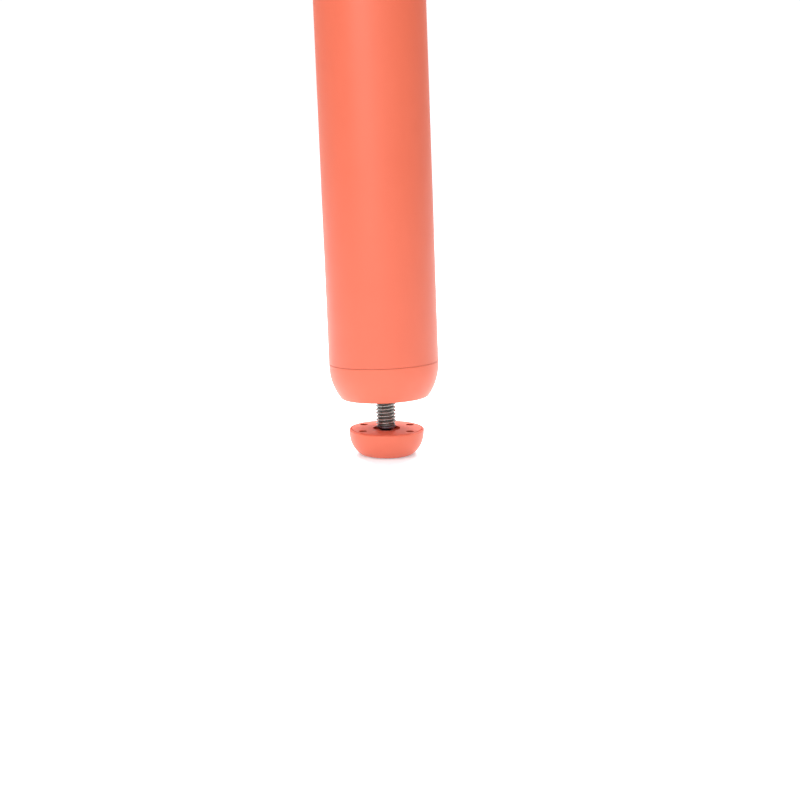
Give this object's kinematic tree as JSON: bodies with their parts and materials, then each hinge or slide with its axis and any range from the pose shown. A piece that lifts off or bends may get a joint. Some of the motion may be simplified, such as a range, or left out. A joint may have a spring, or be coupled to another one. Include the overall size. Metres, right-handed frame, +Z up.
{
  "type": "furniture leg with levelling foot",
  "caption": "Splayed round steel furniture leg with a top mounting plate, a rounded end cap and a screw-adjusted swivel levelling foot.",
  "frame": {"origin": "middle of the mounting plate's upper face, where the leg's axis meets the underside of the furniture", "axes": "+Z up out of the mounting plate; the leg goes down and splays outwards towards +X"},
  "size_m": [0.09, 0.09, 0.4064],
  "materials": {
    "powder_coat": "satin powder coat",
    "moulded_coral": "satin moulded",
    "zinc_steel": "zinc plated",
    "acetal": "smooth",
    "rubber": "matte"
  },
  "bodies": {
    "leg": {"mounting_plate": "powder_coat", "plate_weld": "powder_coat", "leg_tube": "powder_coat", "end_cap": "moulded_coral", "threaded_insert": "zinc_steel"},
    "lower_seat": {"ball_seat_lower": "acetal"},
    "stud": {"glide_stud": "zinc_steel"},
    "upper_seat": {"ball_seat_upper": "acetal"},
    "foot": {"glide_base": "moulded_coral", "glide_retainer": "moulded_coral", "sole_pad": "rubber"}
  },
  "joints": [
    {"name": "leveller_height", "type": "slide", "parent": "leg", "child": "lower_seat", "axis": [0.0532, 0, -0.9986], "range_m": [-0.01, 0.012]},
    {"name": "stud_turn", "type": "hinge", "parent": "lower_seat", "child": "stud", "pos_m": [0.02126, 0, -0.399], "axis": [0.0532, 0, -0.9986], "range_deg": [-2268, 2722]},
    {"name": "foot_tilt_side", "type": "hinge", "parent": "lower_seat", "child": "upper_seat", "pos_m": [0.02126, 0, -0.399], "axis": [0, 1, 0], "range_deg": [-11, 5]},
    {"name": "foot_tilt_front", "type": "hinge", "parent": "upper_seat", "child": "foot", "pos_m": [0.02126, 0, -0.399], "axis": [1, 0, 0], "range_deg": [-8, 8]}
  ],
  "couplings": [
    {"joint": "stud_turn", "follows": "leveller_height", "rad_per_m": 3957.9}
  ]
}
